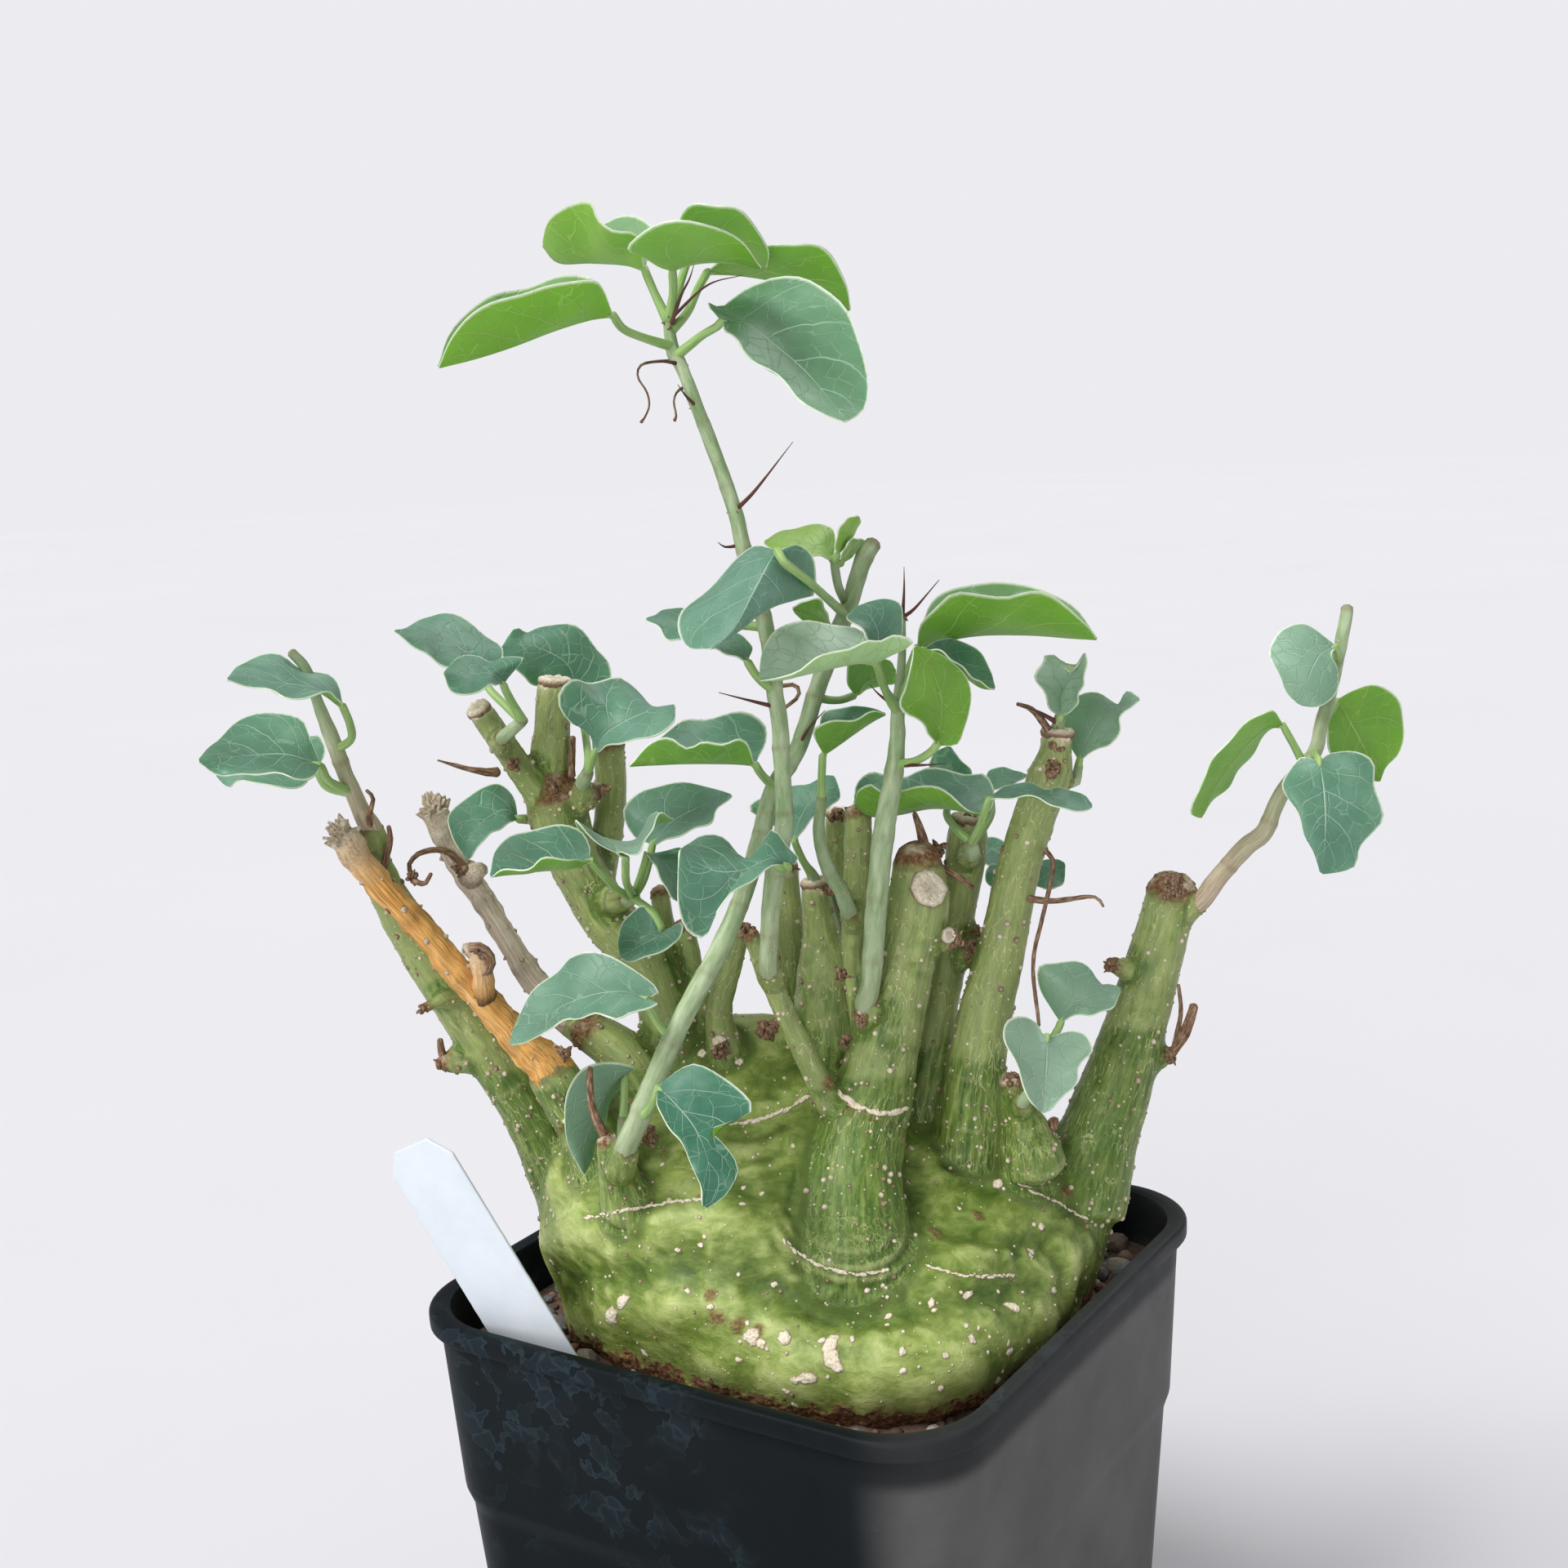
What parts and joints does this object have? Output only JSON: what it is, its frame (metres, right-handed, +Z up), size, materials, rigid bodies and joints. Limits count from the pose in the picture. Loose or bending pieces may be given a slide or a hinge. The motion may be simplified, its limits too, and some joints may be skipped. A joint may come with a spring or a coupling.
{
  "type": "potted live plant",
  "caption": "Square plastic nursery pot of gravel with a live caudex plant: a swollen green base, thick cut stems, thin thorny shoots, folded leaves and a bare plant label.",
  "frame": {"origin": "centre of the pot's flat underside, on the surface that it stands on", "axes": "+Z up along the pot's axis; X and Y along the pot's sides; -Y is the side shown at the picture's front left and +X the side shown at its front right"},
  "size_m": [0.2199, 0.1827, 0.3597],
  "materials": {
    "black_plastic": "satin",
    "stone": "rough",
    "white_plastic": "matte",
    "green_bark": "smooth green bark",
    "tan_wood": "dry",
    "grey_wood": "dry",
    "leaf_green": "waxy leaf"
  },
  "bodies": {
    "root": {"pot": "black_plastic", "gravel": "stone", "label": "white_plastic", "caudex": "green_bark", "branch_tan": "tan_wood", "branch_grey": "grey_wood", "shoot_far_left": "leaf_green", "spray_left_top": "leaf_green", "spray_left_junction": "leaf_green", "leaf_left_low": "leaf_green", "spray_left_middle": "leaf_green", "spray_front_left": "leaf_green", "shoot_long": "leaf_green", "shoot_tall": "leaf_green", "leaf_middle_rear": "leaf_green", "shoot_thin": "leaf_green", "shoot_middle": "leaf_green", "spray_right_middle": "leaf_green", "spray_right_top": "leaf_green", "leaf_right_top": "leaf_green", "spray_right_rear": "leaf_green", "leaf_right_low_rear": "leaf_green", "spray_right_low": "leaf_green", "shoot_far_right": "leaf_green"}
  },
  "joints": []
}
